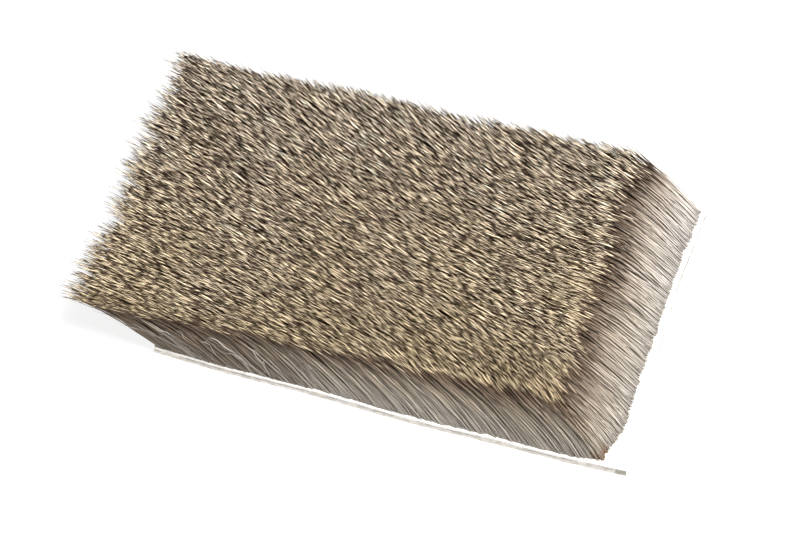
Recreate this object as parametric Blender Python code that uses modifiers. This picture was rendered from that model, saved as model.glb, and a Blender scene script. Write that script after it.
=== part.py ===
"""Deer hair patch: a cut rectangle of tanned deer hide with its hair left on.

The hide is a thin, flat sheet that lies on its flesh side. The hair is one dense pile that
grows from its upper side and leans towards one short end, so that its tips hang out past that
end, and the shafts show on the other short end and on the front. The pile is a lumpy slab of
locks, and the locks round its rim and a scatter of those on its top stand up on their own.

The origin is the middle of the hide's underside. +X runs along the hide against the lie of the
hair, +Y across it and +Z up. The hair leans towards -X.
"""

import math
import random

import bmesh
import bpy
from mathutils import Vector, noise

MM = 0.001

# The hide as it was cut
HIDE_LENGTH = 76 * MM
HIDE_WIDTH = 50 * MM
HIDE_THICKNESS = 1.5 * MM
HIDE_CELL = 4 * MM
CUT_WAVE = 0.15 * MM  # how far the knife strayed from each line
CUT_WAVES = 2.3  # wavers along a side

# How far the middle of each cut side bends outwards
SIDE_BOW = {"left": 0.4 * MM, "right": -1.0 * MM, "front": 0.2 * MM, "rear": 0.3 * MM}

# Corners that curl up off the surface: u and v are 0 or 1, as along the length and the width
CORNER_CURL = [
    {"u": 1, "v": 0, "lift": 0.8 * MM, "reach": 15 * MM},
    {"u": 1, "v": 1, "lift": 0.3 * MM, "reach": 12 * MM},
    {"u": 0, "v": 0, "lift": 0.3 * MM, "reach": 12 * MM},
    {"u": 0, "v": 1, "lift": 0.2 * MM, "reach": 10 * MM},
]

# The hair, from its root in the hide to its tip
HAIR_LENGTH = 17.5 * MM
ROOT_ANGLE = math.radians(50)  # above the hide, where a hair leaves it
TIP_ANGLE = math.radians(18)  # above the hide, at the tip
BEND_POWER = 2  # above 1, a hair bends more towards its tip
ROOT_GAP = 0.3 * MM  # between the hide's upper side and the pile

# How far the outermost roots are in from each cut side
ROOT_INSET = {"left": 0.4 * MM, "right": 0.35 * MM, "front": 0.4 * MM, "rear": 0.4 * MM}
BARE_STRIP = 1.25 * MM  # more inset, at the front end of the right side
BARE_CORNER = Vector((-1.9 * MM, 0.4 * MM))  # how far the front right corner's roots are drawn in
BARE_REACH = 8 * MM

# How the tips lie along the front, the middle and the rear of the patch, each at its left end,
# half-way and at its right end: their sideways drift, towards +Y in millimetres, and their lean,
# towards -X, as a share of an even hair's. Both change smoothly in between.
TIP_DRIFT = {"front": (-1.4, 2.4, 4.8), "middle": (-1.2, 0.0, -1.3), "rear": (-1.6, 0.1, 2.2)}
TIP_LEAN = {"front": (1.02, 1.00, 0.92), "middle": (0.96, 1.00, 1.01), "rear": (0.96, 1.02, 1.10)}

# The pile's slab, in shares of the hair's length
CELLS_LONG = 32
CELLS_WIDE = 20
SLAB_RINGS = [0.3, 0.6, 0.9]  # sections of the slab above its root
LUMP_SIZE = 5 * MM
LUMP_DEPTH = 0.07  # of the hair's length
RIB_DEPTH = 0.3 * MM  # grooves between locks down the sides

# The locks: every cell round the slab's rim carries one, and so do some cells inside it
LOCKS_INSIDE = 190
LOCK_STEPS = [
    {"rise": 0.07, "width": 0.62, "tilt": 0.14},
    {"rise": 0.07, "width": 0.30, "tilt": 0.14},
]
LOCK_UNEVEN = 0.35  # how much the rise of a lock strays, as a share of it
LOCK_REACH = 1.5  # rise of the locks that hang out past the left end, against the others
LOCK_SEED = 11

HIDE_COLOUR = (0.86, 0.82, 0.75, 1.0)
HAIR_COLOUR = (0.33, 0.26, 0.19, 1.0)


def clear_scene():
    for thing in list(bpy.data.objects):
        bpy.data.objects.remove(thing)


def smooth_step(t):
    t = min(max(t, 0.0), 1.0)
    return t * t * (3.0 - 2.0 * t)


def cut_waver(t, phase):
    """The knife's stray along one side, which fades out at its two ends."""
    return CUT_WAVE * math.sin(math.tau * CUT_WAVES * t + phase) * math.sin(math.pi * t)


def hide_plan(u, v):
    """Plan point of the hide at shares u of its length and v of its width."""
    bulge_v = 4.0 * v * (1.0 - v)
    bulge_u = 4.0 * u * (1.0 - u)
    right = SIDE_BOW["right"] * bulge_v + cut_waver(v, 0.4)
    left = -SIDE_BOW["left"] * bulge_v + cut_waver(v, 2.1)
    rear = SIDE_BOW["rear"] * bulge_u + cut_waver(u, 1.3)
    front = -SIDE_BOW["front"] * bulge_u + cut_waver(u, 3.0)
    x = HIDE_LENGTH * (u - 0.5) + right * u + left * (1.0 - u)
    y = HIDE_WIDTH * (v - 0.5) + rear * v + front * (1.0 - v)
    return Vector((x, y))


def hide_lift(u, v):
    """Height of the hide's underside, which is 0 all over but for the curled corners."""
    lift = 0.0
    for corner in CORNER_CURL:
        along = (u - corner["u"]) * HIDE_LENGTH
        across = (v - corner["v"]) * HIDE_WIDTH
        near = 1.0 - math.hypot(along, across) / corner["reach"]
        lift += corner["lift"] * smooth_step(near)
    return lift


def root_place(u, v):
    """Where a hair grows: the place on the pile's underside at shares u and v of its spread."""
    strip = ROOT_INSET["right"] + BARE_STRIP * (1.0 - v) ** 2
    hide_u = (ROOT_INSET["left"] + (HIDE_LENGTH - ROOT_INSET["left"] - strip) * u) / HIDE_LENGTH
    spread = HIDE_WIDTH - ROOT_INSET["front"] - ROOT_INSET["rear"]
    hide_v = (ROOT_INSET["front"] + spread * v) / HIDE_WIDTH
    corner = math.hypot((1.0 - u) * HIDE_LENGTH, v * HIDE_WIDTH)
    plan = hide_plan(hide_u, hide_v) + BARE_CORNER * smooth_step(1.0 - corner / BARE_REACH)
    height = hide_lift(hide_u, hide_v) + HIDE_THICKNESS + ROOT_GAP
    return Vector((plan.x, plan.y, height))


def curve_through(values, share):
    """A smooth curve through three values, at shares 0, a half and 1."""
    start, middle, end = values
    weights = (1.0 - share) * (1.0 - 2.0 * share), 4.0 * share * (1.0 - share), share * (2.0 * share - 1.0)
    return start * weights[0] + middle * weights[1] + end * weights[2]


def tip_lie(u, v):
    """Sideways drift and share of the lean of the hairs that grow at u and v."""
    drift, lean = (
        curve_through([curve_through(table[row], u) for row in ("front", "middle", "rear")], v)
        for table in (TIP_DRIFT, TIP_LEAN)
    )
    return drift * MM, lean


def along_hair(share):
    """How far a hair has leaned over and risen at a share of its length, bending on its way."""
    bent = share ** (BEND_POWER + 1) / (BEND_POWER + 1)
    lean = math.cos(ROOT_ANGLE) * share + (math.cos(TIP_ANGLE) - math.cos(ROOT_ANGLE)) * bent
    rise = math.sin(ROOT_ANGLE) * share + (math.sin(TIP_ANGLE) - math.sin(ROOT_ANGLE)) * bent
    return HAIR_LENGTH * lean, HAIR_LENGTH * rise


def pile_place(u, v, share):
    """The place in the pile on the hair that grows at u and v, at a share of its length."""
    root = root_place(u, v)
    lump = noise.noise(Vector((root.x, root.y, 0.0)) / LUMP_SIZE) * LUMP_DEPTH
    lean, rise = along_hair(share * (1.0 + lump))
    drift, lean_share = tip_lie(u, v)
    return root + Vector((-lean * lean_share, drift * share, rise))


def parts_collection():
    collection = bpy.data.collections.new("deer_hair_patch")
    bpy.context.scene.collection.children.link(collection)
    return collection


def finish_material(name, colour, roughness):
    material = bpy.data.materials.new(name)
    material.use_nodes = True
    shader = material.node_tree.nodes["Principled BSDF"]
    shader.inputs["Base Color"].default_value = colour
    shader.inputs["Roughness"].default_value = roughness
    shader.inputs["Metallic"].default_value = 0.0
    return material


def add_object(name, shape, material, collection):
    mesh = bpy.data.meshes.new(name)
    shape.to_mesh(mesh)
    shape.free()
    mesh.materials.append(material)
    made = bpy.data.objects.new(name, mesh)
    collection.objects.link(made)
    return made


def build_hide(collection):
    """The hide: a sheet cut from a grid, its underside mapped first and its thickness grown up."""
    shape = bmesh.new()
    bmesh.ops.create_grid(
        shape,
        x_segments=round(HIDE_LENGTH / HIDE_CELL),
        y_segments=round(HIDE_WIDTH / HIDE_CELL),
        size=0.5,
    )
    for point in shape.verts:
        u, v = point.co.x + 0.5, point.co.y + 0.5
        plan = hide_plan(u, v)
        point.co = (plan.x, plan.y, hide_lift(u, v))
    leather = finish_material("tanned_hide", HIDE_COLOUR, 0.8)
    hide = add_object("hide", shape, leather, collection)
    thickness = hide.modifiers.new("thickness", "SOLIDIFY")
    thickness.thickness = HIDE_THICKNESS
    thickness.offset = 1.0
    return hide


def slab_of_cells(shape):
    """Raises a grid of cells section by section, in shares: x and y from 0 to 1, z of the hair."""
    bmesh.ops.create_grid(shape, x_segments=CELLS_LONG, y_segments=CELLS_WIDE, size=0.5)
    bmesh.ops.translate(shape, vec=(0.5, 0.5, 0.0), verts=shape.verts)
    under = list(shape.faces)
    top = under
    for ring in SLAB_RINGS:
        raised = bmesh.ops.extrude_face_region(shape, geom=top)
        if top is not under:
            bmesh.ops.delete(shape, geom=top, context="FACES")
        top = [item for item in raised["geom"] if isinstance(item, bmesh.types.BMFace)]
        for point in {point for face in top for point in face.verts}:
            point.co.z = ring
    return top


def cell_of(face):
    """The column and row of a cell of the slab's top."""
    middle = face.calc_center_median()
    return int(middle.x * CELLS_LONG), int(middle.y * CELLS_WIDE)


def lock_faces(top, chance):
    """The cells that carry a lock: all of those on the rim, and a scatter of the rest."""
    rim, inside = [], []
    for face in sorted(top, key=cell_of):
        column, row = cell_of(face)
        on_rim = column in (0, CELLS_LONG - 1) or row in (0, CELLS_WIDE - 1)
        (rim if on_rim else inside).append(face)
    return rim + chance.sample(inside, LOCKS_INSIDE)


def narrow(face, step, reach, chance):
    """Lifts one face of a lock, draws it in and lets it stray a little over its own cell."""
    middle = face.calc_center_median()
    uneven = 1.0 + chance.uniform(-LOCK_UNEVEN, LOCK_UNEVEN)
    stray_u = chance.uniform(-1.0, 1.0) * step["tilt"] / CELLS_LONG
    stray_v = chance.uniform(-1.0, 1.0) * step["tilt"] / CELLS_WIDE
    for point in face.verts:
        point.co = middle + (point.co - middle) * step["width"] + Vector((stray_u, stray_v, 0.0))
        point.co.z = middle.z + step["rise"] * uneven * reach


def grow_locks(shape, faces, chance):
    """Draws each of these cells out into a four-sided lock that narrows to its tip."""
    reaches = [LOCK_REACH if cell_of(face)[0] == 0 else 1.0 for face in faces]
    grown = faces
    for step in LOCK_STEPS:
        grown = bmesh.ops.extrude_discrete_faces(shape, faces=grown)["faces"]
        for face, reach in zip(grown, reaches):
            narrow(face, step, reach, chance)


def groove_sides(shape):
    """Sets every other row of the slab's side points in, so that locks show down its sides."""
    for point in shape.verts:
        u, v, share = point.co
        column, row = round(u * CELLS_LONG), round(v * CELLS_WIDE)
        if share < SLAB_RINGS[0] / 2:
            continue
        if column in (0, CELLS_LONG) and row % 2:
            point.co.x += math.copysign(RIB_DEPTH / HIDE_LENGTH, 0.5 - u)
        if row in (0, CELLS_WIDE) and column % 2:
            point.co.y += math.copysign(RIB_DEPTH / HIDE_WIDTH, 0.5 - v)


def build_hair(collection):
    """The hair: the slab of cells with its locks, bent over as the hair grows."""
    shape = bmesh.new()
    top = slab_of_cells(shape)
    groove_sides(shape)
    chance = random.Random(LOCK_SEED)
    grow_locks(shape, lock_faces(top, chance), chance)
    for point in shape.verts:
        point.co = pile_place(*point.co)
    fur = finish_material("deer_hair", HAIR_COLOUR, 0.6)
    return add_object("hair", shape, fur, collection)


def main():
    clear_scene()
    collection = parts_collection()
    build_hide(collection)
    build_hair(collection)


main()
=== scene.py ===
# %% [markdown]
# # A cut of deer hair on the hide
#
# The object is a small rectangle of tanned deer hide with its winter hair left on. It lies on its
# flesh side. The hair all leans one way: the tips hang out past one short end, and on the other
# short end and along the front you look at the bare shafts, grey at the root and dark near the top.
#
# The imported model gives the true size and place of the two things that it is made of, the hide and
# the hair. Here both get the surface that the eye sees. The hide becomes a thin sheet with a fibrous
# cut edge, and the plain slab of hair becomes many thousand separate hairs that fill the same space.

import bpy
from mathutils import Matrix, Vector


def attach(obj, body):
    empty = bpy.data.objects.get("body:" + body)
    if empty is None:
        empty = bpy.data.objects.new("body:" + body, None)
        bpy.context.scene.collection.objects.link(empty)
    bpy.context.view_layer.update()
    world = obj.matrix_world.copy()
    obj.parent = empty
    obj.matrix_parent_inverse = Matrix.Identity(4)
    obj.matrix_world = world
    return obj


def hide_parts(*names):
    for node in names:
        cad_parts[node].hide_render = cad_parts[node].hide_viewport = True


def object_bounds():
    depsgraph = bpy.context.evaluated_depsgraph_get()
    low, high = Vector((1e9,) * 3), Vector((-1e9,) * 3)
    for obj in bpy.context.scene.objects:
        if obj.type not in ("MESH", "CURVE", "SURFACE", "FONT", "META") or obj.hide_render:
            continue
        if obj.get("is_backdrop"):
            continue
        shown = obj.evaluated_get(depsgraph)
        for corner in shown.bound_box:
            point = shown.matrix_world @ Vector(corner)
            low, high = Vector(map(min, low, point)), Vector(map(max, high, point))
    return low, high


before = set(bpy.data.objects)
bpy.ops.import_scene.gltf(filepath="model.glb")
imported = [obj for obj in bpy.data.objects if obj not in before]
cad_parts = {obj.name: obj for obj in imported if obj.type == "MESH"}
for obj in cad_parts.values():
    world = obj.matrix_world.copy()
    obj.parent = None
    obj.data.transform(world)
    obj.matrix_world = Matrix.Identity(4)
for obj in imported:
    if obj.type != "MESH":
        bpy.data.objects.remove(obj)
print("nodes", sorted(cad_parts))

# %% Tools and units
import math

import bpy
import numpy as np
from mathutils import Matrix, Vector, noise
from mathutils.kdtree import KDTree

MM = 0.001
bpy.ops.object.select_all(action="DESELECT")
cad_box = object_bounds()
print("box in mm", [round(value / MM, 1) for value in cad_box[1] - cad_box[0]])

# %% [markdown]
# ## Where the camera stands
#
# The photo was taken from above and a little to the right of the front. Three facts place a camera:
# the point it looks at, the direction it looks from, and how far away it is. They were found by
# matching the four corners of the hide. The lens then follows from how large the hide looks.

# %% The camera
CAMERA_TARGET = Vector((-6.13, 1.56, 0.0)) * MM
CAMERA_AZIMUTH = math.radians(17.46)
CAMERA_ELEVATION = math.radians(57.05)
CAMERA_ROLL = math.radians(-0.35)
CAMERA_DISTANCE = 500 * MM
CAMERA_LENS = 141.6  # on a sensor 36 mm wide

backwards = Vector((
    math.sin(CAMERA_AZIMUTH) * math.cos(CAMERA_ELEVATION),
    -math.cos(CAMERA_AZIMUTH) * math.cos(CAMERA_ELEVATION),
    math.sin(CAMERA_ELEVATION),
))
bpy.ops.object.camera_add(location=CAMERA_TARGET + backwards * CAMERA_DISTANCE)
camera = bpy.context.object
camera.name = "photo_camera"
turn = backwards.to_track_quat("Z", "Y").to_matrix() @ Matrix.Rotation(CAMERA_ROLL, 3, "Z")
camera.rotation_euler = turn.to_euler()
camera.data.lens = CAMERA_LENS
camera.data.clip_start = 10 * MM
bpy.context.scene.camera = camera
print("camera at", [round(value / MM) for value in camera.location], "mm")

# %% [markdown]
# ## The shape of the patch
#
# The knife didn't cut four straight lines: each side bows a little and wavers, and the corners of
# the dry skin curl up. So every point of the hide is worked out from two shares, u along its length
# and v across its width, both from 0 to 1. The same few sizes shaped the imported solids, so what is
# made with them here lies where they lie. The functions take whole lists of shares at once, because
# thousands of hairs will ask for their place.

# %% The cut hide, seen from above
HIDE_LENGTH = 76 * MM
HIDE_WIDTH = 50 * MM
HIDE_THICKNESS = 1.5 * MM
CUT_WAVE = 0.15 * MM  # how far a cut wavers from its line
CUT_WAVES = 2.3  # waves along a side
WAVE_START = {"left": 2.1, "right": 0.4, "front": 3.0, "rear": 1.3}
SIDE_BOW = {"left": 0.4 * MM, "right": -1.0 * MM, "front": 0.2 * MM, "rear": 0.3 * MM}


def cut_waver(side, share):
    """How far a side wavers at a share of its length. Its two ends stay in place."""
    wave = np.sin(math.tau * CUT_WAVES * share + WAVE_START[side])
    return CUT_WAVE * wave * np.sin(math.pi * share)


def hide_plan(u, v):
    """Plan place, x and y, of the hide at shares u of its length and v of its width."""
    bulge_v = 4.0 * v * (1.0 - v)
    bulge_u = 4.0 * u * (1.0 - u)
    right = SIDE_BOW["right"] * bulge_v + cut_waver("right", v)
    left = -SIDE_BOW["left"] * bulge_v + cut_waver("left", v)
    rear = SIDE_BOW["rear"] * bulge_u + cut_waver("rear", u)
    front = -SIDE_BOW["front"] * bulge_u + cut_waver("front", u)
    x = HIDE_LENGTH * (u - 0.5) + right * u + left * (1.0 - u)
    y = HIDE_WIDTH * (v - 0.5) + rear * v + front * (1.0 - v)
    return x, y


# %% The curled corners
CORNER_CURL = [
    {"u": 1, "v": 0, "lift": 0.8 * MM, "reach": 15 * MM},
    {"u": 1, "v": 1, "lift": 0.3 * MM, "reach": 12 * MM},
    {"u": 0, "v": 0, "lift": 0.3 * MM, "reach": 12 * MM},
    {"u": 0, "v": 1, "lift": 0.2 * MM, "reach": 10 * MM},
]


def smooth_step(share):
    """0 up to share 0 and 1 from share 1 on, with a soft rise between them."""
    share = np.clip(share, 0.0, 1.0)
    return share * share * (3.0 - 2.0 * share)


def hide_lift(u, v):
    """Height of the hide's underside: 0 all over but for the curled corners."""
    lift = 0.0
    for corner in CORNER_CURL:
        away = np.hypot((u - corner["u"]) * HIDE_LENGTH, (v - corner["v"]) * HIDE_WIDTH)
        lift = lift + corner["lift"] * smooth_step(1.0 - away / corner["reach"])
    return lift


print("lift of the front right corner in mm", round(float(hide_lift(1.0, 0.0)) / MM, 2))

# %% [markdown]
# ## The hide
#
# A tanned skin isn't the same all through. On top is the grain, a thin, dense, pale layer. Below it
# lies a looser felt of fibres, and the flesh side is brushed like suede. All of that shows on the cut
# edge, so the edge needs rows of points of its own.
#
# A sheet could be a plane with a Solidify modifier, but that leaves the edge as one plain strip. A
# grid that is extruded upwards in steps gives the edge its layers at once, and each layer can then
# be frayed by its own amount.

# %% A grid, raised layer by layer
HIDE_CELL = 0.7 * MM
HIDE_LAYERS = [0.25, 0.5, 0.72, 0.88, 1.0]  # heights of the layers, in shares of the thickness


def point_places(thing):
    """The places of a mesh's points, as rows of x, y and z."""
    places = np.empty(len(thing.data.vertices) * 3)
    thing.data.vertices.foreach_get("co", places)
    return places.reshape(-1, 3)


def place_points(thing, places):
    """Moves a mesh's points to these places."""
    thing.data.vertices.foreach_set("co", np.asarray(places, dtype=float).ravel())
    thing.data.update()


bpy.ops.mesh.primitive_grid_add(
    x_subdivisions=round(HIDE_LENGTH / HIDE_CELL),
    y_subdivisions=round(HIDE_WIDTH / HIDE_CELL),
    size=1.0,
)
hide = bpy.context.object
hide.name = "hide_sheet"
bpy.ops.object.mode_set(mode="EDIT")
bpy.ops.mesh.select_all(action="SELECT")
height = 0.0
for layer in HIDE_LAYERS:
    bpy.ops.mesh.extrude_region_move(TRANSFORM_OT_translate={"value": (0.0, 0.0, layer - height)})
    height = layer
bpy.ops.mesh.select_all(action="SELECT")
bpy.ops.mesh.normals_make_consistent(inside=False)
bpy.ops.object.mode_set(mode="OBJECT")
print("hide has", len(hide.data.polygons), "faces")

# %% [markdown]
# The grid is still a unit square. Each point's own x and y are its two shares, so the formulas above
# put it in place. A small noise frays the cut edge: the loose fibres of the flesh side stray the
# most, and the dense grain on top the least.

# %% Lay the hide out and fray its edge
AT_EDGE = 0.4999  # from the middle of the unit grid
EDGE_FRAY = 0.11 * MM
FRAY_SIZE = 0.9 * MM
GRAIN_HOLD = 0.7  # how much less the grain frays than the flesh side
GRAIN_SWELL = 0.05 * MM
SWELL_SIZE = 3.0 * MM
NOISE_STEPS = (13.7, 7.1, 3.3)  # from one seed's part of the noise to the next
SMOOTH_BELOW = math.radians(40)  # edges sharper than this stay sharp


def noise_at(places, size, seed):
    """Smooth noise from about -1 to 1 at each place."""
    shift = Vector([seed * step for step in NOISE_STEPS])
    return np.array([noise.noise(Vector(place) / size + shift) for place in places])


shares = point_places(hide)
hide_u, hide_v, layer_share = shares[:, 0] + 0.5, shares[:, 1] + 0.5, shares[:, 2]
plan_x, plan_y = hide_plan(hide_u, hide_v)
laid = np.stack([plan_x, plan_y, hide_lift(hide_u, hide_v) + layer_share * HIDE_THICKNESS], axis=1)
outward = np.sign(shares[:, :2]) * (np.abs(shares[:, :2]) > AT_EDGE)
fray = noise_at(laid, FRAY_SIZE, 1) * EDGE_FRAY * (1.0 - GRAIN_HOLD * layer_share)
laid[:, :2] += outward * fray[:, None]
on_grain = layer_share > 0.99
laid[:, 2] += noise_at(laid, SWELL_SIZE, 2) * GRAIN_SWELL * on_grain
place_points(hide, laid)
bpy.ops.object.shade_smooth_by_angle(angle=SMOOTH_BELOW)
print("hide lies from", laid.min(axis=0) / MM, "to", laid.max(axis=0) / MM, "mm")

# %% [markdown]
# The finish of the skin reads one number from the mesh: how deep in the skin a point lies, from 0
# on the flesh side to 1 on the grain. It is stored as an attribute, because it follows the curled
# corners, which a plain height would not.

# %% Store the depth in the skin
depth = hide.data.attributes.new("skin_layer", "FLOAT", "POINT")
depth.data.foreach_set("value", layer_share.astype(np.float32))
print("depths stored:", len(depth.data))

# %% Colours and materials
BLACK = (0.0, 0.0, 0.0)
WHITE = (1.0, 1.0, 1.0)


def grey(value):
    """A colour without a hue, from black at 0 to white at 1."""
    return (value, value, value)


def new_material(name):
    """A material with its nodes, and the shader to set up."""
    material = bpy.data.materials.new(name)
    material.use_nodes = True
    return material, material.node_tree, material.node_tree.nodes["Principled BSDF"]


def add_node(tree, kind, **settings):
    """Adds a node, and sets its properties and its numbered or named inputs."""
    node = tree.nodes.new(kind)
    for name, value in settings.pop("inputs", {}).items():
        node.inputs[name].default_value = value
    for name, value in settings.items():
        setattr(node, name, value)
    return node


print("mid grey is", grey(0.5))

# %% Nodes for numbers and colours


def maths(tree, operation, first, second=0.0):
    """A Math node. Each side is a number or another node's output."""
    node = add_node(tree, "ShaderNodeMath", operation=operation)
    for socket, value in zip(node.inputs, (first, second)):
        if isinstance(value, (int, float)):
            socket.default_value = value
        else:
            tree.links.new(value, socket)
    return node.outputs[0]


def ramp(tree, stops, factor):
    """A Color Ramp node. stops are pairs of a place and a colour of three numbers."""
    node = add_node(tree, "ShaderNodeValToRGB")
    elements = node.color_ramp.elements
    while len(elements) < len(stops):
        elements.new(0.5)
    for element, (place, colour) in zip(elements, stops):
        element.position = place
        element.color = (*colour, 1.0)
    tree.links.new(factor, node.inputs["Fac"])
    return node.outputs["Color"]


def blend(tree, kind, factor, first, second):
    """A Mix node for colours. Each is three numbers or a node's output. The result stays in 0 to 1."""
    node = add_node(tree, "ShaderNodeMix", data_type="RGBA", blend_type=kind, clamp_result=True)
    # A Mix node has sockets for numbers and vectors too. Those for colours are 6 and 7, and output 2.
    for socket, value in ((node.inputs[0], factor), (node.inputs[6], first), (node.inputs[7], second)):
        if isinstance(value, (int, float)):
            socket.default_value = value
        elif isinstance(value, tuple):
            socket.default_value = (*value, 1.0)
        else:
            tree.links.new(value, socket)
    return node.outputs[2]


print("helpers ready")

# %% [markdown]
# ## The finish of the skin
#
# Seen on its edge, the skin is a bright cream line over a greyer, mottled felt with a few dark
# specks, which are the roots that the knife cut through. Ramps on the stored depth give those
# layers. Three noises break them up: a fine one for the felt, a sharp one for the specks and a
# coarse one for soft blotches and for the gaps in the seam.
#
# The seam is a thin, broken grey line between grain and felt. At the right end the cut edge below
# the grain is painted grey: painted shade for the shading of that cut face and its thin contact shadow.

# %% The layers of the skin
GRAIN_CREAM = (0.95, 0.94, 0.90)
FELT_GREY = (0.84, 0.80, 0.75)
FLESH_CREAM = (0.78, 0.72, 0.62)
SEAM_GREY = (0.36, 0.32, 0.29)
FELT_SCALE = 900.0  # the larger a texture's scale, the finer its pattern
SPECK_SCALE = 2600.0
BLOTCH_SCALE = 260.0

skin, tree, shader = new_material("tanned_skin")
place = add_node(tree, "ShaderNodeTexCoord").outputs["Object"]
layer = add_node(tree, "ShaderNodeAttribute", attribute_name="skin_layer").outputs["Fac"]
felt = add_node(tree, "ShaderNodeTexNoise", inputs={"Scale": FELT_SCALE, "Detail": 6.0, "Roughness": 0.65})
specks = add_node(tree, "ShaderNodeTexNoise", inputs={"Scale": SPECK_SCALE, "Detail": 2.0})
blotches = add_node(tree, "ShaderNodeTexNoise", inputs={"Scale": BLOTCH_SCALE, "Detail": 4.0})
for texture in (felt, specks, blotches):
    tree.links.new(place, texture.inputs["Vector"])
layers = ramp(tree, [
    (0.0, FLESH_CREAM), (0.10, FELT_GREY), (0.60, FELT_GREY), (0.72, GRAIN_CREAM), (1.0, GRAIN_CREAM),
], layer)
seam = ramp(tree, [(0.44, BLACK), (0.54, WHITE), (0.60, WHITE), (0.68, BLACK)], layer)
broken = ramp(tree, [(0.44, BLACK), (0.56, WHITE)], blotches.outputs["Fac"])
seamed = blend(tree, "MIX", maths(tree, "MULTIPLY", seam, broken), layers, SEAM_GREY)
print("layers and seam take", len(tree.nodes), "nodes")

# %% Painted shade on the right end, felt and specks
EDGE_SHADE_FROM = 36.3 * MM
EDGE_PAINTED_SHADE = (0.52, 0.53, 0.50)
FELT_HOLLOW = (0.62, 0.59, 0.55)
FELT_DEPTH = 0.7
BLOTCH_TONE = (0.90, 0.87, 0.82)
BLOTCH_DEPTH = 0.6
ROOT_SPECK = (0.30, 0.25, 0.20)
SPECK_DEPTH = 0.6
SKIN_ROUGHNESS = 0.82

where = add_node(tree, "ShaderNodeSeparateXYZ")
tree.links.new(place, where.inputs["Vector"])
# Painted shade: below the grain, the right end's cut edge is darkened grey for its shading and contact shadow.
at_shaded_end = maths(tree, "GREATER_THAN", where.outputs["X"], EDGE_SHADE_FROM)
below = ramp(tree, [(0.80, WHITE), (0.92, BLACK)], layer)
edge_shaded = blend(tree, "MULTIPLY", maths(tree, "MULTIPLY", at_shaded_end, below), seamed, EDGE_PAINTED_SHADE)
felt_shade = ramp(tree, [(0.38, FELT_HOLLOW), (0.58, WHITE)], felt.outputs["Fac"])
mottled = blend(tree, "MULTIPLY", maths(tree, "MULTIPLY", below, FELT_DEPTH), edge_shaded, felt_shade)
blotch_shade = ramp(tree, [(0.35, BLOTCH_TONE), (0.65, WHITE)], blotches.outputs["Fac"])
aged = blend(tree, "MULTIPLY", BLOTCH_DEPTH, mottled, blotch_shade)
speck_mask = ramp(tree, [(0.68, BLACK), (0.76, WHITE)], specks.outputs["Fac"])
speckled = blend(tree, "MIX", maths(tree, "MULTIPLY", speck_mask, SPECK_DEPTH), aged, ROOT_SPECK)
tree.links.new(speckled, shader.inputs["Base Color"])
bump = add_node(tree, "ShaderNodeBump", inputs={"Strength": 0.5, "Distance": 0.12 * MM})
tree.links.new(felt.outputs["Fac"], bump.inputs["Height"])
tree.links.new(bump.outputs["Normal"], shader.inputs["Normal"])
shader.inputs["Roughness"].default_value = SKIN_ROUGHNESS
hide.data.materials.append(skin)
print("tanned skin has", len(tree.nodes), "nodes")

# %% The hide takes its place in the model
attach(hide, "root")
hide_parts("hide")
print("hide rides on root")

# %% [markdown]
# ## How a hair lies
#
# Each hair leaves the skin at 50 degrees, stands nearly straight for half its length and then bends
# over towards 18 degrees at its tip. How far it leans, and how far it drifts sideways, changes
# smoothly over the patch: the hair at the front right is combed to the rear, and the hair behind it
# a little to the front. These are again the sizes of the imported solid.
#
# First comes the place where a hair grows. The roots keep off the cut, and most of all at the right
# end, where a strip of skin lies bare.

# %% From a share of the hide to a root
# How far inside the cut the outermost roots stand
ROOT_INSET = {"left": 0.4 * MM, "right": 0.35 * MM, "front": 0.4 * MM, "rear": 0.4 * MM}
BARE_STRIP = 1.25 * MM  # added at the right end, all of it at the front and none at the rear
BARE_CORNER = (-1.9 * MM, 0.4 * MM)  # how far the root at the front right corner is moved, in x and y
BARE_REACH = 8 * MM  # roots nearer than this to that corner move with it
ROOT_DEPTH = 0.2 * MM  # how deep a root sits in the skin


def root_place(u, v):
    """Where hairs grow, as rows of x, y and z, for shares u and v of the spread of the roots."""
    strip = ROOT_INSET["right"] + BARE_STRIP * (1.0 - v) ** 2
    on_u = (ROOT_INSET["left"] + (HIDE_LENGTH - ROOT_INSET["left"] - strip) * u) / HIDE_LENGTH
    spread = HIDE_WIDTH - ROOT_INSET["front"] - ROOT_INSET["rear"]
    on_v = (ROOT_INSET["front"] + spread * v) / HIDE_WIDTH
    x, y = hide_plan(on_u, on_v)
    near = smooth_step(1.0 - np.hypot((1.0 - u) * HIDE_LENGTH, v * HIDE_WIDTH) / BARE_REACH)
    z = hide_lift(on_u, on_v) + HIDE_THICKNESS - ROOT_DEPTH
    return np.stack([x + BARE_CORNER[0] * near, y + BARE_CORNER[1] * near, z], axis=-1)


print("front right root in mm", [round(float(value) / MM, 1) for value in root_place(1.0, 0.0)])

# %% From a root to its tip
HAIR_LENGTH = 17.5 * MM
ROOT_ANGLE = math.radians(50)
TIP_ANGLE = math.radians(18)
BEND_POWER = 2  # above 1, a hair bends more towards its tip
# For each row the values at the left end, half-way and at the right end, drifts in millimetres
TIP_DRIFT = {"front": (-1.4, 2.4, 4.8), "middle": (-1.2, 0.0, -1.3), "rear": (-1.6, 0.1, 2.2)}
TIP_LEAN = {"front": (1.02, 1.00, 0.92), "middle": (0.96, 1.00, 1.01), "rear": (0.96, 1.02, 1.10)}


def curve_through(values, share):
    """A smooth curve through three values, at shares 0, a half and 1."""
    start, middle, end = values
    near_start = (1.0 - share) * (1.0 - 2.0 * share)
    near_end = share * (2.0 * share - 1.0)
    return start * near_start + middle * 4.0 * share * (1.0 - share) + end * near_end


def from_rows(table, u, v):
    """The value at u and v of a table with rows for the front, the middle and the rear."""
    return curve_through([curve_through(table[row], u) for row in ("front", "middle", "rear")], v)


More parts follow.
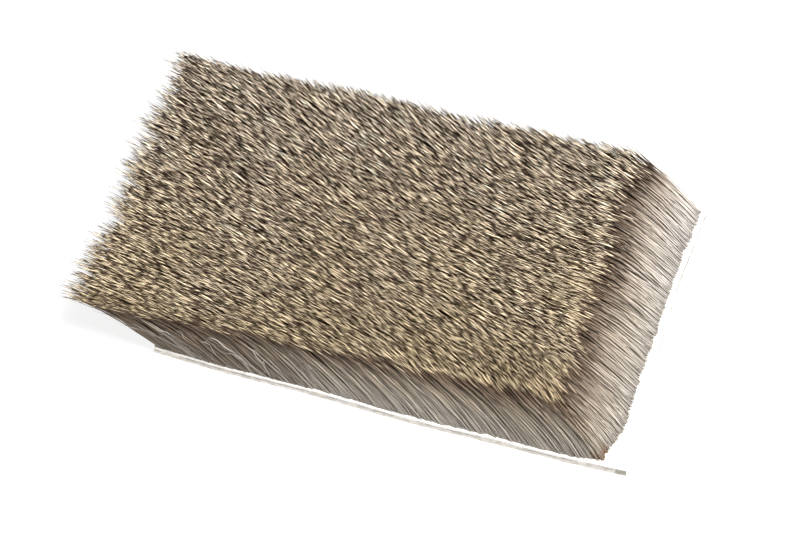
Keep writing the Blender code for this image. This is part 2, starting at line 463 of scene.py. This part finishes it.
def along_hair(share):
    """How far a hair has leaned over and risen at a share of its length."""
    bent = share ** (BEND_POWER + 1) / (BEND_POWER + 1)
    lean = math.cos(ROOT_ANGLE) * share + (math.cos(TIP_ANGLE) - math.cos(ROOT_ANGLE)) * bent
    rise = math.sin(ROOT_ANGLE) * share + (math.sin(TIP_ANGLE) - math.sin(ROOT_ANGLE)) * bent
    return HAIR_LENGTH * lean, HAIR_LENGTH * rise


print("a hair leans", round(float(along_hair(1.0)[0]) / MM, 1), "mm and rises",
      round(float(along_hair(1.0)[1]) / MM, 1), "mm")

# %% [markdown]
# ## One hair, modelled once
#
# A deer's winter hair is a hollow shaft that is thickest in its middle and ends in a fine point. At
# this size three sides are enough, because no one sees a hair's section. A cone of three sides gets
# more rings by bisecting it, and the rings are then set to the width of the real shaft.
#
# Few faces matter here: whatever one hair costs is paid many thousand times. A hair at the rim shows
# its whole curve and needs six rings. One in the middle of the coat shows no more than its upper
# half, so three rings will do.

# %% A master hair
# Pairs of a share of the length and the share of the full width there
SHAFT_WIDTHS = [(0.0, 0.75), (0.3, 0.95), (0.55, 1.0), (0.75, 0.95), (0.92, 0.6), (1.0, 0.0)]
RIM_RINGS = [0.16, 0.33, 0.5, 0.67, 0.82, 0.93]
INNER_RINGS = [0.5, 0.75, 0.92]


def model_hair(name, ring_shares):
    """A cone of three sides with rings at these shares of its height."""
    bpy.ops.mesh.primitive_cone_add(
        vertices=3, radius1=1.0, radius2=0.0, depth=1.0, end_fill_type="NGON", location=(0.0, 0.0, 0.5)
    )
    hair = bpy.context.object
    hair.name = name
    bpy.ops.object.transform_apply(location=True, rotation=False, scale=False)
    bpy.ops.object.mode_set(mode="EDIT")
    for share in ring_shares:
        bpy.ops.mesh.select_all(action="SELECT")
        bpy.ops.mesh.bisect(plane_co=(0.0, 0.0, share), plane_no=(0.0, 0.0, 1.0))
    bpy.ops.mesh.select_all(action="SELECT")
    bpy.ops.mesh.normals_make_consistent(inside=False)
    bpy.ops.object.mode_set(mode="OBJECT")
    return hair


rim_hair = model_hair("rim_hair", RIM_RINGS)
inner_hair = model_hair("inner_hair", INNER_RINGS)
print("faces of a hair at the rim:", len(rim_hair.data.polygons), "inside:", len(inner_hair.data.polygons))

# %% [markdown]
# ## Reading the master hair
#
# To copy a hair without copying an object, its shape is read into lists: how far along the shaft
# each point lies, in which direction from its middle and how wide the shaft is there.
#
# The colour will be read from a map that has one column for each kind of hair, with the length of
# the shaft running up it. So each face also needs its place across a column: the three sides of the
# shaft take a third each, the pointed end of a side narrows to its middle, and the cap at the root,
# which no one sees, takes a sliver at the bottom.

# %% Points and map of a master hair
CAP_ACROSS = [0.2, 0.5, 0.8]
CAP_UP = [0.002, 0.008, 0.002]
SHAFT_START = 0.01  # the shaft takes the map's height from here
SHAFT_SPAN = 0.98


def read_hair(hair):
    """A master hair's points, faces and map as lists. In the map, across is a share of a column."""
    places = point_places(hair)
    radius = np.hypot(places[:, 0], places[:, 1])
    on_ring = radius > 1e-6
    share = np.clip(places[:, 2], 0.0, 1.0).round(4)
    around = places[:, :2] / np.where(on_ring, radius, 1.0)[:, None] * on_ring[:, None]
    faces = [list(face.vertices) for face in hair.data.polygons]
    across, up = [], []
    for face in faces:
        if np.ptp(share[face]) < 1e-4:
            across += CAP_ACROSS
            up += CAP_UP
            continue
        turn = np.arctan2(around[face, 1], around[face, 0]) / math.tau
        middle = np.angle(np.exp(math.tau * 1j * turn[on_ring[face]]).sum()) / math.tau
        side = np.floor((middle % 1.0) * 3.0)
        from_middle = (turn - middle + 0.5) % 1.0 - 0.5
        across += list((side + 0.5) / 3.0 + np.where(on_ring[face], from_middle, 0.0))
        up += list(SHAFT_START + SHAFT_SPAN * share[face])
    width = np.interp(share, *zip(*SHAFT_WIDTHS))
    return {"share": share, "around": around, "width": width, "faces": faces,
            "across": np.array(across), "up": np.array(up)}


masters = {"rim": read_hair(rim_hair), "inner": read_hair(inner_hair)}
for hair in (rim_hair, inner_hair):
    bpy.data.objects.remove(hair)
print("map of a rim hair, across", masters["rim"]["across"].min().round(3), "to",
      masters["rim"]["across"].max().round(3))

# %% [markdown]
# ## Sowing the roots
#
# Roots on a plain grid would line up, and roots scattered at random would leave holes. A grid whose
# points are each moved by up to half a cell does neither. Hairs also hold together: a damp or oily
# coat falls into small tufts whose tips lean on each other. Each hair belongs to the nearest centre
# of a coarser jittered grid.

# %% Jittered grids
ROOTS_LONG = 208
ROOTS_WIDE = 137
ROOT_JITTER = 0.95  # of half a cell of the grid
CENTRE_JITTER = 0.9

chance = np.random.default_rng(21)


def jittered_grid(count_u, count_v, jitter):
    """Shares u and v of a grid of points, each strayed by up to jitter of half a cell."""
    u, v = np.meshgrid(np.arange(count_u) + 0.5, np.arange(count_v) + 0.5, indexing="ij")
    stray = chance.uniform(-0.5, 0.5, (2, count_u, count_v)) * jitter
    u = (u + stray[0]) / count_u
    v = (v + stray[1]) / count_v
    return u.ravel(), v.ravel()


def centres(size):
    """Shares u and v of the centres of tufts or locks of this size."""
    return jittered_grid(round(HIDE_LENGTH / size), round(HIDE_WIDTH / size), CENTRE_JITTER)


def nearest_centre(u, v, centre_u, centre_v):
    """For each root the number of the nearest centre."""
    tree = KDTree(len(centre_u))
    for number, (one_u, one_v) in enumerate(zip(centre_u, centre_v)):
        tree.insert((one_u * HIDE_LENGTH, one_v * HIDE_WIDTH, 0.0), number)
    tree.balance()
    return np.array([tree.find((x, y, 0.0))[1] for x, y in zip(u * HIDE_LENGTH, v * HIDE_WIDTH)])


print("cells of the grid of roots, in mm:",
      round(HIDE_LENGTH / ROOTS_LONG / MM, 2), "by", round(HIDE_WIDTH / ROOTS_WIDE / MM, 2))

# %% [markdown]
# The grid alone would leave the cut faces thin at their foot, where the roots are seen one by one.
# So close rows of finer hairs follow the four edges. At the right end the roots don't stand on a
# straight line but in small scallops.

# %% Roots, tufts and locks
EDGE_STEP = 0.11 * MM
EDGE_ROWS = {  # the nearest and the farthest from the outermost roots
    "front": (-0.25 * MM, 0.3 * MM), "rear": (0.0, 0.4 * MM),
    "left": (0.0, 0.4 * MM), "right": (0.0, 0.5 * MM),
}
EDGE_WIDTH = 0.75  # of the width of the other hairs
SCALLOP = 0.3 * MM
SCALLOP_SIZE = 1.3 * MM
SCALLOP_SHIFT = 0.2  # above 0, scallops take up more than half of the right end
SCALLOP_PLACE = 4.4  # in the noise
TUFT_SIZE = 1.2 * MM
LOCK_SIZE = 4.0 * MM


def edge_roots():
    """Close rows of roots along all four sides, so that the cut faces are full to their foot."""
    sides = []
    for name, (nearest, farthest) in EDGE_ROWS.items():
        along_u = name in ("front", "rear")
        side_length, across = (HIDE_LENGTH, HIDE_WIDTH) if along_u else (HIDE_WIDTH, HIDE_LENGTH)
        count = round(side_length / EDGE_STEP)
        along = (np.arange(count) + chance.uniform(0.0, 1.0, count)) / count
        depth = chance.uniform(nearest, farthest, count) / across
        depth = 1.0 - depth if name in ("rear", "right") else depth
        sides.append((along, depth) if along_u else (depth, along))
    return np.concatenate(sides, axis=1)


root_u, root_v = jittered_grid(ROOTS_LONG, ROOTS_WIDE, ROOT_JITTER)
edge_u, edge_v = edge_roots()
fine = np.concatenate([np.zeros(len(root_u), dtype=bool), np.ones(len(edge_u), dtype=bool)])
root_u, root_v = np.concatenate([root_u, edge_u]), np.concatenate([root_v, edge_v])
in_noise = root_v * HIDE_WIDTH / SCALLOP_SIZE
scallop = np.array([noise.noise(Vector((along, SCALLOP_PLACE, 0.0))) for along in in_noise])
root_u *= 1.0 - SCALLOP * np.clip(scallop + SCALLOP_SHIFT, 0.0, 1.0) / HIDE_LENGTH
tuft_u, tuft_v = centres(TUFT_SIZE)
lock_u, lock_v = centres(LOCK_SIZE)
tuft = nearest_centre(root_u, root_v, tuft_u, tuft_v)
lock = nearest_centre(root_u, root_v, lock_u, lock_v)
print(len(root_u), "hairs in", len(tuft_u), "tufts and", len(lock_u), "locks")

# %% [markdown]
# ## The line that each hair follows
#
# All hairs start from the even lie above. Then each gets its own length, and its tuft and the lock
# that the tuft is part of draw it in towards their middle, more so near the tip. Tufts and locks
# also sway to one side. A small stray, a lean and a ripple of its own keep each hair from lying
# exactly along its neighbour.
#
# Along the front and the rear the coat has a clean outline. So the hair there sways less, and at the
# rear right corner the tips are tucked in.

# %% Length, sway and ripple of each hair
LENGTH_STRAY = {"hair": 0.055, "tuft": 0.016, "lock": 0.01}
LENGTH_LIMITS = (0.78, 1.12)
LUMP_SIZE = 5 * MM
LUMP_DEPTH = 0.07
SWAY = {"hair": 0.9 * MM, "tuft": 0.28 * MM, "lock": 0.2 * MM}
SWAY_LIMIT = 1.4 * MM
CALM_BEYOND = 0.42  # of the hide's width, from its middle
RIM_CALM = 0.6  # how much of its sideways sway the hair beyond that keeps
REAR_TUCK = 1.0 * MM  # how far the tips at the rear right corner are tucked in
TUCK_FROM = {"u": 0.5, "v": 0.8}
LEAN_STRAY = 0.05
RIPPLE = 0.17 * MM
IN_PLAN = (1.0, 1.0, 0.0)  # x and y, without the height

hairs = len(root_u)
roots = root_place(root_u, root_v)
length = 1.0 + LENGTH_STRAY["hair"] * chance.standard_normal(hairs)
length += LENGTH_STRAY["tuft"] * chance.standard_normal(len(tuft_u))[tuft]
length += LENGTH_STRAY["lock"] * chance.standard_normal(len(lock_u))[lock]
length += noise_at(roots * IN_PLAN, LUMP_SIZE, 0) * LUMP_DEPTH
length = np.clip(length, *LENGTH_LIMITS)
sway = SWAY["hair"] * chance.standard_normal((hairs, 2))
sway += SWAY["tuft"] * chance.standard_normal((len(tuft_u), 2))[tuft]
sway += SWAY["lock"] * chance.standard_normal((len(lock_u), 2))[lock]
sway = np.clip(sway, -SWAY_LIMIT, SWAY_LIMIT)
sway[np.abs(root_v - 0.5) > CALM_BEYOND, 0] *= RIM_CALM
near_rear = smooth_step((root_v - TUCK_FROM["v"]) / (1.0 - TUCK_FROM["v"]))
near_right = smooth_step((root_u - TUCK_FROM["u"]) / (1.0 - TUCK_FROM["u"]))
sway[:, 0] -= REAR_TUCK * near_rear * near_right
ripple_start = chance.uniform(0.0, math.tau, hairs)
leaning = 1.0 + LEAN_STRAY * chance.standard_normal(hairs)
ripple = np.full(hairs, RIPPLE)
print("hairs are", round(float(length.min()), 2), "to", round(float(length.max()), 2), "of the usual length")

# %% [markdown]
# ## Loose underhair
#
# Along the front, and most of all in its left part, some fine, short, pale hairs cross the others.
# They are picked by chance from the fine hairs of the outermost rows. Each gets a lean and a sway of
# its own, a little more to the front than to the rear.

# %% Hairs that cross the front
CROSSING_SHARES = (0.24, 0.06)  # of the outermost fine hairs, in the left part and in the rest
CROSSING_LEFT = (0.06, 0.4)  # where the left part starts and ends, as shares u
CROSSING_ROWS = 0.01  # how deep the outermost rows are, as a share v
CROSSING_LEAN = 0.5
CROSSING_SWAY = 0.9 * MM
CROSSING_TO_FRONT = (0.2, 0.0)  # of that sway
CROSSING_LENGTH = (0.45, 0.75)
CROSSING_RIPPLE = 1.3
CROSSING_WIDTH = 0.5

crossing_share = np.where(root_u < CROSSING_LEFT[1], *CROSSING_SHARES)
may_cross = fine & (root_v < CROSSING_ROWS) & (root_u > CROSSING_LEFT[0])
crossing = may_cross & (chance.random(hairs) < crossing_share)
leaning[crossing] += CROSSING_LEAN * chance.standard_normal(crossing.sum())
loose = np.clip(chance.standard_normal((crossing.sum(), 2)), -1.0, 1.0)
sway[crossing] += CROSSING_SWAY * (loose - CROSSING_TO_FRONT)
length[crossing] *= chance.uniform(*CROSSING_LENGTH, crossing.sum())
ripple[crossing] *= CROSSING_RIPPLE
print(int(crossing.sum()), "of", int(may_cross.sum()), "fine hairs cross the front")

# %% [markdown]
# ## From root to tip
#
# Now all of that goes into one function, which gives the places of all hairs at one share of their
# length. The tips were stroked in another direction than the shafts grow, so near the top every hair
# turns once more.

# %% The lines
# How much the tips turn to the rear, as a slope, in rows and columns as above
TIP_TURN = {"front": (-0.07, -0.03, 0.29), "middle": (0.07, 0.08, -0.07), "rear": (0.12, 0.33, 0.06)}
TUFT_PULL = 0.16
LOCK_PULL = 0.08
PULL_POWER = 1.3
SWAY_POWER = 1.1
SWAY_LIFT = 0.4  # of a sway, upwards or downwards
RIPPLES = 2.2  # waves along a hair
RIPPLE_LIFT = 0.5  # of a ripple, upwards or downwards


def centre_line(u, v, size, share):
    """Places at one share of hairs that grow at u and v and are size times the usual length."""
    lean, rise = along_hair(share * size)
    drift = from_rows(TIP_DRIFT, u, v) * MM * share
    turned = from_rows(TIP_TURN, u, v) * HAIR_LENGTH * (share**4 - share**2)
    bent = np.stack([-lean * from_rows(TIP_LEAN, u, v), drift + turned, rise], axis=-1)
    return root_place(u, v) + bent


def hair_line(share):
    """The places of all hairs at one share of their length."""
    place = centre_line(root_u, root_v, length, share)
    for centre, centre_u, centre_v, pull in (
        (tuft, tuft_u, tuft_v, TUFT_PULL), (lock, lock_u, lock_v, LOCK_PULL),
    ):
        middle = centre_line(centre_u[centre], centre_v[centre], length, share)
        place[:, :2] += (middle - place)[:, :2] * pull * share**PULL_POWER
    place[:, 0] = roots[:, 0] + (place[:, 0] - roots[:, 0]) * leaning
    swayed = share**SWAY_POWER
    place[:, 1] += sway[:, 0] * swayed
    place[:, 2] += sway[:, 1] * swayed * SWAY_LIFT
    wave = np.sin(math.tau * RIPPLES * share + ripple_start) * ripple * share
    place[:, 1] += wave
    place[:, 2] += wave * RIPPLE_LIFT
    return place


print("highest tip", round(float(hair_line(1.0)[:, 2].max()) / MM, 1), "mm")

# %% [markdown]
# ## A place on the palette for each hair
#
# The colour of a hair depends on two things only: which hair it is and how far along the shaft you
# look. A UV map can hold both. Across the map there are 128 columns, one for each kind of hair, and
# up the map runs the length of the shaft. Hairs of one kind share a column. The columns run from the
# coolest hair on the left to the warmest on the right, because the coat is warmer near the front.
#
# The last ten columns are kept for special hairs: eight kinds for the front left, whose shafts get
# painted shade because that part lies in the shade of its own tips, one for the pale hairs that cross
# the front, and one for the hairs at the front right corner, whose feet are stained.

# %% Kinds of hair
COLUMNS = 128
COLUMN_MARGIN = 0.22  # of a column, on both sides, so that no hair reads its neighbour's colour
STAINED_COLUMN = COLUMNS - 1
PALE_COLUMN = COLUMNS - 2
PAINTED_SHADE_KINDS = 8
LAST_PLAIN_COLUMN = PALE_COLUMN - PAINTED_SHADE_KINDS - 1
WARMTH = {"rear left": -0.05, "added to the right": 0.25, "added to the front": 0.8}
WARM_PATCH_SIZE = 9 * MM
WARM_PATCH = 0.22
TONE_STRAY = 0.16
STAIN_REACH = 2.2 * MM
# Where the shafts get painted shade: near the front, in its left part, which its own tips shade.
PAINTED_SHADE_REACH = 1.5 * MM
PAINTED_SHADE_UNTIL = 0.3  # of the hide's length
PAINTED_SHADE_STRAY = 0.12  # of the hide's length, around that limit

warmth = WARMTH["added to the right"] * root_u + WARMTH["added to the front"] * (1.0 - root_v)
warmth += WARMTH["rear left"] + noise_at(roots * IN_PLAN, WARM_PATCH_SIZE, 5) * WARM_PATCH
warmth += chance.standard_normal(hairs) * TONE_STRAY
column = np.clip((warmth * COLUMNS).astype(int), 0, LAST_PLAIN_COLUMN)
from_left = root_u + PAINTED_SHADE_STRAY * chance.standard_normal(hairs)
in_painted_shade = (root_v * HIDE_WIDTH < PAINTED_SHADE_REACH) & (from_left < PAINTED_SHADE_UNTIL)
column[in_painted_shade] = PALE_COLUMN - chance.integers(1, PAINTED_SHADE_KINDS + 1, in_painted_shade.sum())
column[crossing] = PALE_COLUMN
to_corner = np.hypot((1.0 - root_u) * HIDE_LENGTH, root_v * HIDE_WIDTH)
column[to_corner < STAIN_REACH] = STAINED_COLUMN
print("hairs in the coolest and the warmest quarter:",
      int((column < COLUMNS // 4).sum()), int((column >= COLUMNS * 3 // 4).sum()))

# %% [markdown]
# ## From lines to hairs
#
# The master hair is now copied along every line at once, with arrays of numbers instead of objects.
# At each ring the shaft needs two directions across its line, and the ring's three points are set
# out along them. The whole coat would be too large for one mesh, so it is built as bands from the
# tip end to the root end.

# %% Copy a master hair along lines
SHAFT_RADIUS = 0.13 * MM  # at a hair's middle
SHAFT_STRAY = 0.26
WORLD_UP = np.array([0.0, 0.0, 1.0])


def unit(rows):
    """The same directions with a length of 1."""
    return rows / np.maximum(np.linalg.norm(rows, axis=-1, keepdims=True), 1e-12)


def copies_of(master, chosen):
    """Points of a copy of this master hair for each chosen hair, as hair by point by x, y and z."""
    shares, ring = np.unique(master["share"], return_inverse=True)
    lines = np.stack([hair_line(share)[chosen] for share in shares], axis=1)
    ahead = unit(np.gradient(lines, axis=1))
    side = unit(np.cross(ahead, WORLD_UP))
    over = np.cross(side, ahead)
    around = master["around"][None, :, :]
    across = side[:, ring] * around[..., :1] + over[:, ring] * around[..., 1:]
    return lines[:, ring] + across * (master["width"][None, :, None] * radii[chosen, None, None])


radii = SHAFT_RADIUS * (1.0 + SHAFT_STRAY * chance.standard_normal(hairs))
radii *= np.where(fine, EDGE_WIDTH, 1.0) * np.where(crossing, CROSSING_WIDTH, 1.0)
print("mean hair is", round(float(radii.mean()) * 2 / MM, 2), "mm wide at its middle")

# %% One mesh from many copies


def joined_copies(master, chosen):
    """Points, corners, face sizes and map places of the copies for the chosen hairs."""
    points = copies_of(master, chosen)
    copies, per_copy = points.shape[:2]
    corners = np.concatenate(master["faces"])[None, :] + np.arange(copies)[:, None] * per_copy
    sizes = np.tile([len(face) for face in master["faces"]], copies)
    in_column = COLUMN_MARGIN + (1.0 - 2.0 * COLUMN_MARGIN) * master["across"]
    across = (column[chosen][:, None] + in_column[None, :]) / COLUMNS
    up = np.broadcast_to(master["up"], across.shape)
    return points.reshape(-1, 3), corners.ravel(), sizes, np.stack([across, up], axis=-1).reshape(-1, 2)


def build_band(name, in_band):
    """The hairs of one band of the coat, those at the rim with more rings than those inside."""
    rim_part = joined_copies(masters["rim"], in_band & at_rim)
    inner_part = joined_copies(masters["inner"], in_band & ~at_rim)
    points = np.concatenate([rim_part[0], inner_part[0]])
    corners = np.concatenate([rim_part[1], inner_part[1] + len(rim_part[0])])
    sizes = np.concatenate([rim_part[2], inner_part[2]])
    mesh = bpy.data.meshes.new(name)
    mesh.vertices.add(len(points))
    mesh.vertices.foreach_set("co", points.ravel())
    mesh.loops.add(len(corners))
    mesh.loops.foreach_set("vertex_index", corners)
    mesh.polygons.add(len(sizes))
    mesh.polygons.foreach_set("loop_start", np.cumsum(sizes) - sizes)
    mesh.polygons.foreach_set("use_smooth", np.ones(len(sizes), dtype=bool))
    mesh.update(calc_edges=True)
    palette = mesh.uv_layers.new(name="OFBake")
    palette.data.foreach_set("uv", np.concatenate([rim_part[3], inner_part[3]]).ravel())
    strands = bpy.data.objects.new(name, mesh)
    bpy.context.scene.collection.objects.link(strands)
    return strands


print("ready to build")

# %% Build the coat in bands
BANDS = 6
RIM_REACH = 2.4 * MM  # hairs that grow this near to a side show their whole curve

to_ends = np.minimum(root_u, 1.0 - root_u) * HIDE_LENGTH
to_sides = np.minimum(root_v, 1.0 - root_v) * HIDE_WIDTH
at_rim = np.minimum(to_ends, to_sides) < RIM_REACH
coat = []
for number in range(BANDS):
    in_band = np.minimum((root_u * BANDS).astype(int), BANDS - 1) == number
    strands = build_band(f"hair_band_{number + 1}", in_band)
    coat.append(strands)
    triangles = sum(len(face.vertices) - 2 for face in strands.data.polygons)
    print(strands.name, int(in_band.sum()), "hairs,", triangles, "triangles")

# %% [markdown]
# ## The colour of a hair
#
# A shader has to find out two things: which kind of hair it is on, and how far along the shaft. The
# map gives both. Across, its whole number of columns is the kind. A white noise turns that number
# into dice that fall the same way all over one hair. One of them moves the cream band a little up or
# down the shaft.

# %% Reading the palette
BAND_STRAY = 0.14

fur, tree, shader = new_material("deer_hair")
spot = add_node(tree, "ShaderNodeUVMap", uv_map="OFBake").outputs["UV"]
parts = add_node(tree, "ShaderNodeSeparateXYZ")
tree.links.new(spot, parts.inputs["Vector"])
in_columns = maths(tree, "MULTIPLY", parts.outputs["X"], COLUMNS)
kind = maths(tree, "FLOOR", in_columns)
dice = add_node(tree, "ShaderNodeTexWhiteNoise", noise_dimensions="1D")
tree.links.new(kind, dice.inputs["W"])
rolls = add_node(tree, "ShaderNodeSeparateColor")
tree.links.new(dice.outputs["Color"], rolls.inputs["Color"])
slid = maths(tree, "MULTIPLY", maths(tree, "SUBTRACT", rolls.outputs["Red"], 0.5), BAND_STRAY)
along = maths(tree, "ADD", parts.outputs["Y"], slid)
print("a band lies up to", BAND_STRAY / 2, "of the length from its usual place")

# %% [markdown]
# A winter hair is pale grey at the skin, turns slowly to a dark brown, has one cream band below the
# tip, and ends in a fine dark point. Two ramps hold those colours, one for the cool hairs and one
# for the warm ones, and the kind says how much of each a hair gets.

# %% Cool and warm hair
COOL_HAIR = [
    (0.00, (0.59, 0.55, 0.52)), (0.25, (0.57, 0.525, 0.48)), (0.45, (0.56, 0.50, 0.44)),
    (0.60, (0.36, 0.30, 0.24)), (0.72, (0.105, 0.076, 0.054)), (0.835, (0.043, 0.025, 0.016)),
    (0.87, (1.0, 0.81, 0.61)), (1.00, (1.0, 0.85, 0.67)),
]
WARM_HAIR = [
    (0.00, (0.39, 0.345, 0.295)), (0.25, (0.36, 0.31, 0.25)), (0.45, (0.335, 0.275, 0.21)),
    (0.60, (0.25, 0.197, 0.145)), (0.72, (0.165, 0.115, 0.08)), (0.83, (0.145, 0.092, 0.06)),
    (0.865, (0.62, 0.50, 0.305)), (1.00, (0.67, 0.55, 0.35)),
]

cool = ramp(tree, COOL_HAIR, along)
warm = ramp(tree, WARM_HAIR, along)
mixed = blend(tree, "MIX", maths(tree, "DIVIDE", kind, COLUMNS), cool, warm)
print("colours along a cool hair:", len(COOL_HAIR), "along a warm one:", len(WARM_HAIR))

# %% [markdown]
# Another of the dice makes the whole hair a little lighter or darker. And each shaft gets painted shade:
# its flanks are painted darker than its ridge, for the shade that hairs lying close cast on each other.
# Both show most at the tips, so one more ramp, the contrast, lets them grow along the shaft. The warm hairs are
# the more even ones.

# %% Lighter and darker hairs, painted shade on the flanks
CONTRAST = [(0.0, grey(0.05)), (0.60, grey(0.08)), (0.76, grey(0.50)), (0.86, WHITE)]
SHADE_STRAY = 1.1
SOFTNESS = 0.75  # how much more even the warmest hairs are than the coolest
# Painted shade: the flanks of each shaft are darkened for the shade that close neighbours cast on them.
FLANK_PAINTED_SHADE = grey(0.10)  # how dark a shaft is where it meets its neighbours
DARK_POINT = (0.12, 0.085, 0.06)

contrast = ramp(tree, CONTRAST, along)
softness = maths(tree, "SUBTRACT", 1.0, maths(tree, "MULTIPLY", kind, SOFTNESS / COLUMNS))
uneven = maths(tree, "MULTIPLY", contrast, softness)
roll = maths(tree, "MULTIPLY", maths(tree, "SUBTRACT", rolls.outputs["Green"], 0.5), SHADE_STRAY)
light = maths(tree, "ADD", maths(tree, "MULTIPLY", uneven, roll), 1.0)
shade = add_node(tree, "ShaderNodeHueSaturation")
tree.links.new(light, shade.inputs["Value"])
tree.links.new(mixed, shade.inputs["Color"])
past_margin = maths(tree, "SUBTRACT", maths(tree, "FRACT", in_columns), COLUMN_MARGIN)
around = maths(tree, "DIVIDE", past_margin, 1.0 - 2.0 * COLUMN_MARGIN)
# Painted shade across each shaft: darker flanks and a lighter ridge.
painted_flank_shade = ramp(tree, [(0.06, FLANK_PAINTED_SHADE), (0.24, WHITE), (0.43, WHITE), (0.61, FLANK_PAINTED_SHADE), (1.0, FLANK_PAINTED_SHADE)], around)
points = ramp(tree, [(0.915, WHITE), (0.955, DARK_POINT)], parts.outputs["Y"])
with_flank_shade = blend(tree, "MULTIPLY", uneven, shade.outputs["Color"], painted_flank_shade)
pointed = blend(tree, "MULTIPLY", 1.0, with_flank_shade, points)
print("so far", len(tree.nodes), "nodes")

# %% [markdown]
# The special kinds come last. The ones of the front left get painted shade, darker up to the cream band,
# the pale ones get one plain colour, and the stained ones get a brown foot and a touch of the same brown at the
# tip.

# %% Painted shade, pale and stained hair
# Painted shade on the shafts at the front left, up to the cream band.
PAINTED_SHADE_TONE = (0.64, 0.58, 0.53)
PALE_HAIR = (0.58, 0.54, 0.49)
ROOT_STAIN = (0.30, 0.205, 0.145)
STAIN = [(0.0, WHITE), (0.06, grey(0.8)), (0.14, BLACK), (0.80, BLACK), (0.90, grey(0.45))]

after_plain = maths(tree, "GREATER_THAN", kind, LAST_PLAIN_COLUMN + 0.5)
before_pale = maths(tree, "LESS_THAN", kind, PALE_COLUMN - 0.5)
painted_shade_ramp = ramp(tree, [(0.62, PAINTED_SHADE_TONE), (0.80, WHITE)], parts.outputs["Y"])
shade_painted = blend(tree, "MULTIPLY", maths(tree, "MULTIPLY", after_plain, before_pale), pointed, painted_shade_ramp)
paled = blend(tree, "MIX", maths(tree, "COMPARE", kind, PALE_COLUMN), shade_painted, PALE_HAIR)
stained_kind = maths(tree, "GREATER_THAN", kind, STAINED_COLUMN - 0.5)
stain = ramp(tree, STAIN, parts.outputs["Y"])
stained = blend(tree, "MIX", maths(tree, "MULTIPLY", stained_kind, stain), paled, ROOT_STAIN)
tree.links.new(stained, shader.inputs["Base Color"])
shader.inputs["Roughness"].default_value = 0.6
shader.inputs["Specular IOR Level"].default_value = 0.15
print("deer hair has", len(tree.nodes), "nodes")

# %% The coat takes its place in the model
for strands in coat:
    strands.data.materials.append(fur)
    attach(strands, "root")
    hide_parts("hair")
print(len(coat), "bands ride on root")

# %% [markdown]
# ## Light and floor
#
# The photo is a bright studio picture on white. A large, soft sun from above and the right lights
# the top and the right end and leaves the front in shade, and a white sky fills the shadows. The
# floor glows a little by itself. So it stays white, keeps only the contact shadow, and lights the
# cut faces from below as a lit table does.

# %% The floor
FLOOR_SIZE = 4.0
FLOOR_HEIGHT = -0.02 * MM  # just below the hide, so that the two don't share a plane
FLOOR_PAINT = grey(0.25)
FLOOR_GLOW = 0.82

bpy.ops.mesh.primitive_plane_add(size=FLOOR_SIZE, location=(0.0, 0.0, FLOOR_HEIGHT))
floor = bpy.context.object
floor.name = "studio_floor"
paint, tree, shader = new_material("white_floor")
shader.inputs["Base Color"].default_value = (*FLOOR_PAINT, 1.0)
shader.inputs["Roughness"].default_value = 0.9
shader.inputs["Emission Color"].default_value = (*WHITE, 1.0)
shader.inputs["Emission Strength"].default_value = FLOOR_GLOW
floor.data.materials.append(paint)
floor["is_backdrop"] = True
print("floor laid at", round(floor.location.z / MM, 3), "mm")

# %% The lights
SUN_STRENGTH = 6.1
SUN_ANGLE = math.radians(28)
SUN_FROM = Vector((0.5, -0.03, 1.0))  # a direction
SUN_PLACE = (0.3, 0.2, 0.5)  # a sun shines alike from everywhere
SKY_STRENGTH = 0.36

bpy.ops.object.light_add(type="SUN", location=SUN_PLACE)
sun = bpy.context.object
sun.name = "soft_sun"
sun.data.energy = SUN_STRENGTH
sun.data.angle = SUN_ANGLE
sun.rotation_euler = SUN_FROM.to_track_quat("Z", "Y").to_euler()
world = bpy.data.worlds.new("white_studio")
world.use_nodes = True
sky = world.node_tree.nodes["Background"]
sky.inputs["Color"].default_value = (*WHITE, 1.0)
sky.inputs["Strength"].default_value = SKY_STRENGTH
bpy.context.scene.world = world
bpy.context.scene.view_settings.view_transform = "Standard"
print("sun and sky set")

# %% Sizes, and the end
size_lines = {"cad": [list(corner) for corner in cad_box], "visual": [list(corner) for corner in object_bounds()]}
for name, box in size_lines.items():
    print(name, "size in mm", [round((high - low) / MM, 1) for low, high in zip(*box)])
